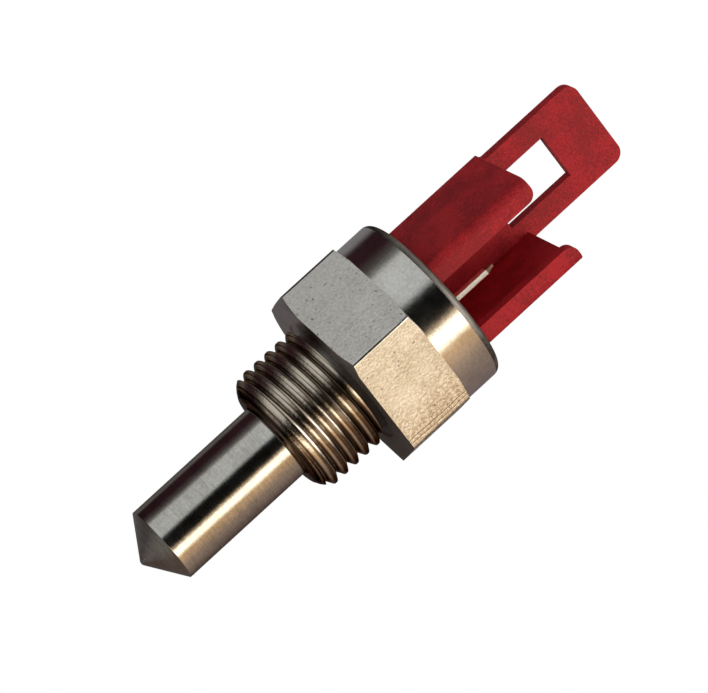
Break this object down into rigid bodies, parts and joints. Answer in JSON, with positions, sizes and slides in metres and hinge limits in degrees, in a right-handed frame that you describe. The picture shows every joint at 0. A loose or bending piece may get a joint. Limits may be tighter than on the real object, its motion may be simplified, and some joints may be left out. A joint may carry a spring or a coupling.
{
  "type": "immersion temperature probe",
  "caption": "Screw-in immersion temperature probe: plated brass well with cone tip, fine thread, hexagon and crimped collar, and a red plug shroud with flat pins and a latch loop.",
  "frame": {"origin": "on the probe's axis, at the hexagon's seat face where the thread meets it", "axes": "+Z along the axis from the probe to the plug; the probe and thread lie on -Z; the plug shroud opens to -Y and its latch loop stands on +Y; +X is to the right seen from the open side"},
  "size_m": [0.016, 0.0144, 0.0457],
  "materials": {
    "nickel_plate": "nickel plate over turned brass, satin on the flats, bright on the turned faces",
    "red_plastic": "moulded polyamide, satin",
    "tinned_brass": "bright tin plate on brass strip",
    "tinned_copper": "tinned copper wire",
    "rubber_seal": "moulded rubber",
    "ntc_ceramic": "sintered metal-oxide ceramic",
    "silver_film": "fired silver paste",
    "solder": "tin solder, bright",
    "bead_resin": "black epoxy, glossy",
    "sleeve_plastic": "PTFE tube, translucent white",
    "liner_plastic": "polyimide tube, amber",
    "thermal_paste": "filled silicone, white",
    "potting_resin": "dark epoxy"
  },
  "bodies": {
    "root": {"sensor_body": "nickel_plate", "connector_housing": "red_plastic", "terminal_right": "tinned_brass", "terminal_left": "tinned_brass", "housing_seal": "rubber_seal", "potting_plug": "potting_resin", "insulating_liner": "liner_plastic", "thermal_compound": "thermal_paste", "thermistor_chip": "ntc_ceramic", "chip_electrode_right": "silver_film", "chip_electrode_left": "silver_film", "chip_solder_right": "solder", "chip_solder_left": "solder", "thermistor_bead": "bead_resin", "lead_wire_right": "tinned_copper", "lead_wire_left": "tinned_copper", "lead_sleeve_right": "sleeve_plastic", "lead_sleeve_left": "sleeve_plastic", "terminal_solder_right": "solder", "terminal_solder_left": "solder"}
  },
  "joints": []
}
